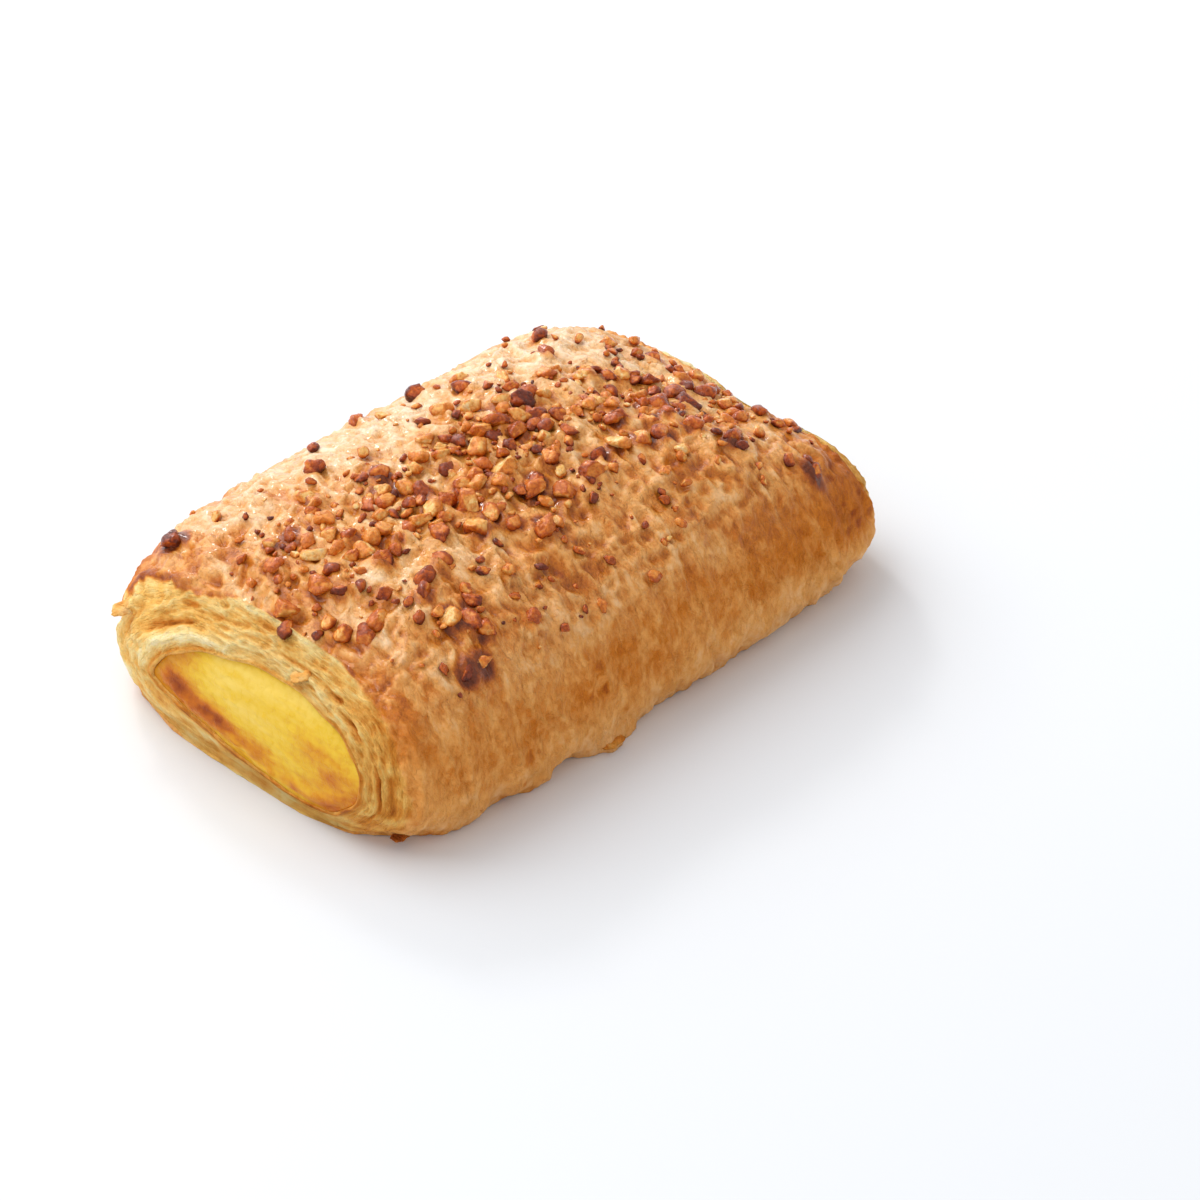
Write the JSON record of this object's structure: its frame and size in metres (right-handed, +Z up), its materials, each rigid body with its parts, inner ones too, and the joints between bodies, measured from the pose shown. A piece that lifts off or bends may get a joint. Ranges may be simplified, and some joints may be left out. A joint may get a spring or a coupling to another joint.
{
  "type": "cream napolitana pastry",
  "caption": "Baked roll of flaky dough filled with custard cream that shows at both ends, glazed and strewn with chopped nuts.",
  "frame": {"origin": "middle of the flat underside that the pastry stands on", "axes": "+X along the length, away from the cream end seen in front in the picture; +Y to the left across the roll, so the long side seen in the picture is at -Y; +Z up"},
  "size_m": [0.1249, 0.0847, 0.0409],
  "materials": {
    "baked_dough": "golden brown glazed crust, paler flaky ends",
    "custard_cream": "smooth, moist and glossy yellow"
  },
  "bodies": {
    "root": {"pastry": "baked_dough", "cream": "custard_cream"}
  },
  "joints": []
}
